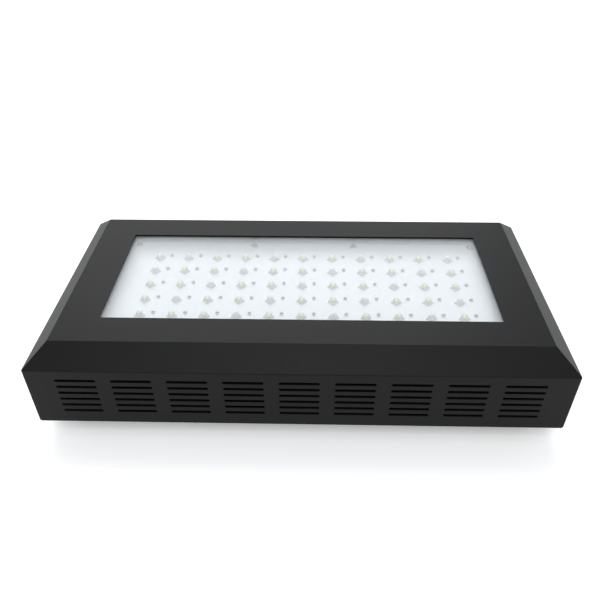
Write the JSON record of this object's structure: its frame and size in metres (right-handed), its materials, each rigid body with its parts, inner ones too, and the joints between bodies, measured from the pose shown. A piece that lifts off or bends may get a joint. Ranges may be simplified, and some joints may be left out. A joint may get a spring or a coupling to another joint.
{
  "type": "led aquarium light",
  "caption": "Low vented box light for aquariums: windowed LED panel in a bevelled housing, with dimmer knobs, rocker switches, fans and hanging slings on its back.",
  "frame": {"origin": "middle of the footprint, on the surface that the hanging lugs stand on", "axes": "+X along the housing, +Y from the switch edge to the mains-inlet edge, +Z the way the light shines"},
  "size_m": [0.4, 0.212, 0.0848],
  "materials": {
    "black_paint": "satin fine-textured black powder coat on folded steel sheet",
    "zinc_steel": "zinc plated",
    "lug_steel": "zinc plated pressed steel",
    "rope_steel": "bright stranded steel wire rope",
    "ferrule_aluminium": "crimped, satin",
    "clear_acrylic": "clear polished sheet",
    "gasket_foam": "closed-cell foam",
    "cast_aluminium": "extruded and machined, plain",
    "board_white": "white solder resist on an aluminium board",
    "led_package": "moulded, semi-matte",
    "white_dome": "clear silicone over yellow phosphor",
    "blue_dome": "clear silicone",
    "chip_black": "moulded epoxy",
    "pcb_green": "solder resist",
    "winding_tape": "polyester tape and moulded cases",
    "fan_plastic": "moulded, fine texture",
    "guard_chrome": "bright plated wire",
    "switch_plastic": "moulded, satin",
    "rocker_red": "moulded, glossy translucent red",
    "rocker_white": "moulded, glossy",
    "contact_brass": "tinned brass",
    "dimmer_metal": "plated",
    "knob_plastic": "moulded, fluted",
    "cap_aluminium": "turned, bright",
    "terminal_nylon": "moulded nylon"
  },
  "bodies": {
    "fixture": {"back_panel": "black_paint", "board_screws": "zinc_steel", "bypass_chips": "chip_black", "clear_cover": "clear_acrylic", "cover_gasket": "gasket_foam", "dimmer_blue_body": "dimmer_metal", "dimmer_nuts": "zinc_steel", "dimmer_white_body": "dimmer_metal", "driver_blue_case": "black_paint", "driver_blue_lid": "black_paint", "driver_boards": "pcb_green", "driver_screws": "zinc_steel", "driver_white_case": "black_paint", "driver_white_lid": "black_paint", "driver_windings": "winding_tape", "fan_left_frame": "fan_plastic", "fan_left_guard": "guard_chrome", "fan_right_frame": "fan_plastic", "fan_right_guard": "guard_chrome", "fan_screws": "zinc_steel", "hanging_lugs": "lug_steel", "heat_sink": "cast_aluminium", "housing_shell": "black_paint", "inlet_body": "switch_plastic", "inlet_nuts": "zinc_steel", "inlet_pins": "contact_brass", "inlet_screws": "zinc_steel", "led_board": "board_white", "led_bodies": "led_package", "led_domes_blue": "blue_dome", "led_domes_white": "white_dome", "lug_screws": "zinc_steel", "panel_screws": "zinc_steel", "sling_eyes": "rope_steel", "sling_ferrules": "ferrule_aluminium", "sling_left": "rope_steel", "sling_right": "rope_steel", "spacer_frame": "cast_aluminium", "stud_nuts": "zinc_steel", "stud_washers": "zinc_steel", "switch_blue_body": "switch_plastic", "switch_pivots": "zinc_steel", "switch_terminals": "contact_brass", "switch_white_body": "switch_plastic", "terminal_block": "terminal_nylon", "weld_studs": "zinc_steel"},
    "rocker_blue": {"switch_blue_rocker": "rocker_red"},
    "rocker_white": {"switch_white_rocker": "rocker_white"},
    "knob_blue": {"dimmer_blue_shaft": "dimmer_metal", "dimmer_blue_knob": "knob_plastic", "dimmer_blue_ring": "cap_aluminium", "dimmer_blue_cap": "cap_aluminium"},
    "knob_white": {"dimmer_white_shaft": "dimmer_metal", "dimmer_white_knob": "knob_plastic", "dimmer_white_ring": "cap_aluminium", "dimmer_white_cap": "cap_aluminium"},
    "rotor_left": {"fan_left_rotor": "fan_plastic"},
    "rotor_right": {"fan_right_rotor": "fan_plastic"}
  },
  "joints": [
    {"name": "rocker_blue_tip", "type": "hinge", "parent": "fixture", "child": "rocker_blue", "pos_m": [0.162, -0.061, 0.01785], "axis": [-1, 0, 0], "range_deg": [0, 24]},
    {"name": "rocker_white_tip", "type": "hinge", "parent": "fixture", "child": "rocker_white", "pos_m": [-0.162, -0.061, 0.01785], "axis": [-1, 0, 0], "range_deg": [0, 24]},
    {"name": "knob_blue_turn", "type": "hinge", "parent": "fixture", "child": "knob_blue", "pos_m": [0.109, -0.068, 0.012], "axis": [0, 0, 1], "range_deg": [0, 288]},
    {"name": "knob_white_turn", "type": "hinge", "parent": "fixture", "child": "knob_white", "pos_m": [-0.109, -0.068, 0.012], "axis": [0, 0, 1], "range_deg": [0, 288]},
    {"name": "fan_left_spin", "type": "hinge", "parent": "fixture", "child": "rotor_left", "pos_m": [-0.045, 0, 0.025], "axis": [0, 0, 1], "continuous": true},
    {"name": "fan_right_spin", "type": "hinge", "parent": "fixture", "child": "rotor_right", "pos_m": [0.045, 0, 0.025], "axis": [0, 0, 1], "continuous": true}
  ]
}
